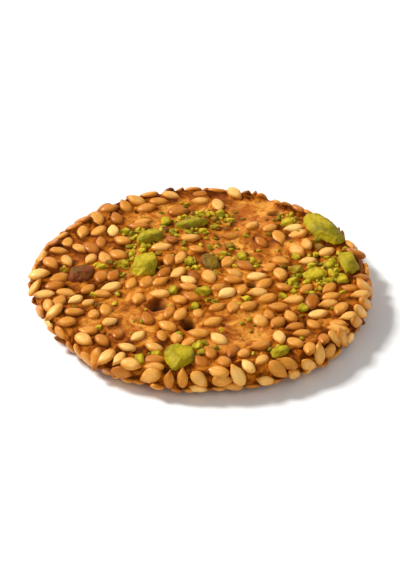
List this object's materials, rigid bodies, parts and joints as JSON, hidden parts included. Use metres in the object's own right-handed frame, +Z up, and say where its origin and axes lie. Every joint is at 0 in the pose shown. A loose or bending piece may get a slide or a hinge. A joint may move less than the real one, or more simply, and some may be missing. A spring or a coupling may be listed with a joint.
{
  "type": "barazek biscuit",
  "caption": "Thin, crisp, round biscuit lying flat: baked dough with chopped pistachio on top, and sesame seeds on its rim and underside.",
  "frame": {"origin": "middle of the biscuit, on the surface that it lies on", "axes": "+Z up, out of the pistachio side; +X to the right and +Y to the back of the biscuit as it is seen from the front"},
  "size_m": [0.0513, 0.0504, 0.0058],
  "materials": {
    "baked_dough": "baked, slightly buttery dough, golden brown and darker at the edge",
    "sesame": "toasted sesame seeds, from pale gold to brown, with a soft sheen",
    "pistachio": "chopped pistachio kernel, yellow green where it is cut and olive to purple on its skin"
  },
  "bodies": {
    "root": {"barazek": "baked_dough"}
  },
  "joints": []
}
